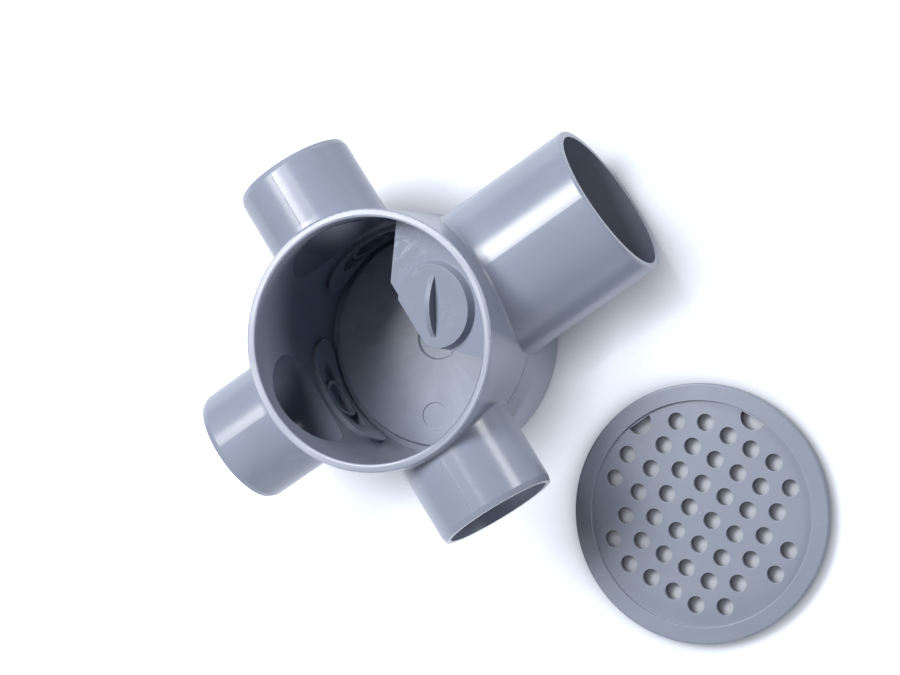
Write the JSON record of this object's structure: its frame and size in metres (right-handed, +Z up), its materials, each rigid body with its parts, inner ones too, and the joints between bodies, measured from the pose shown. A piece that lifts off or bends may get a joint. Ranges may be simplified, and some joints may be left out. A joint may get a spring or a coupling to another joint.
{
  "type": "multi floor trap",
  "caption": "Round drain trap with an open mouth, inlet spigots round its wall, a larger low outlet spigot, an inner cover with a finger grip, and a loose perforated grating.",
  "frame": {"origin": "middle of the round underside, on the axis of the round body", "axes": "+Z up through the mouth, +X along the outlet; the trap stands on its flat underside and the grating lies beside it on the same plane"},
  "size_m": [0.2171, 0.2904, 0.0915],
  "materials": {
    "trap_body": "semi-gloss blue-grey uPVC",
    "base_cap": "semi-gloss blue-grey uPVC",
    "cleanout_cover": "semi-gloss blue-grey uPVC",
    "grating": "semi-gloss blue-grey uPVC"
  },
  "bodies": {
    "root": {"trap_body": "trap_body", "base_cap": "base_cap", "cleanout_cover": "cleanout_cover", "grating": "grating"}
  },
  "joints": []
}
